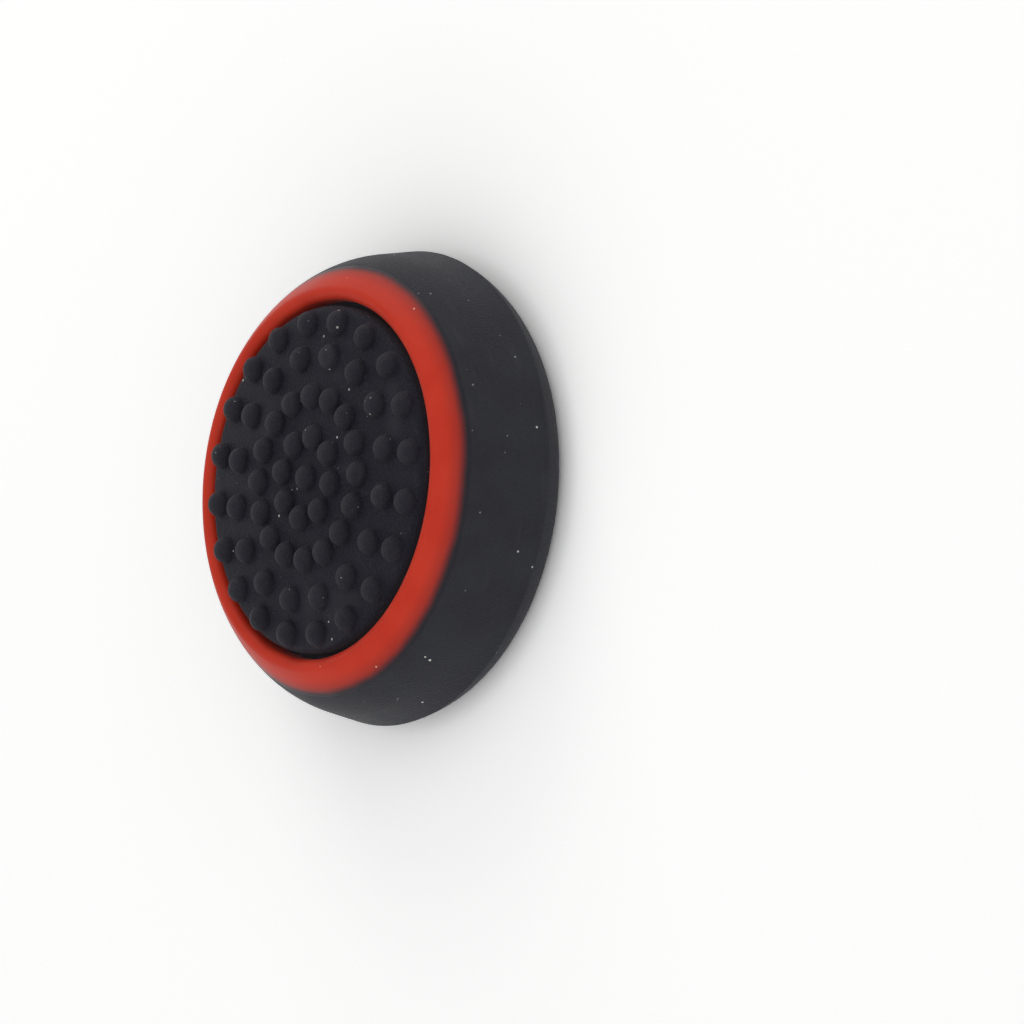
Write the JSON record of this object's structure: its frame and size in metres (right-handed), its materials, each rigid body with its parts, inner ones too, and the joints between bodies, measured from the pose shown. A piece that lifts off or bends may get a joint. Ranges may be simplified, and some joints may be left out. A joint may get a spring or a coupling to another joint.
{
  "type": "controller thumb grip",
  "caption": "Slip-on silicone cap for a controller's thumb stick, with a studded crowned disc, a coloured shoulder ring, tapered sides and a turned-in lip round the opening.",
  "frame": {"origin": "centre of the flat rim that the cap stands on", "axes": "+Z along the axis of revolution, from the opening towards the nubs; +X through a nub of the outermost circle"},
  "size_m": [0.025, 0.025, 0.0084],
  "materials": {
    "black_silicone": "matte moulded silicone",
    "red_silicone": "matte moulded silicone, second shot"
  },
  "bodies": {
    "root": {"grip_body": "black_silicone", "colour_ring": "red_silicone"}
  },
  "joints": []
}
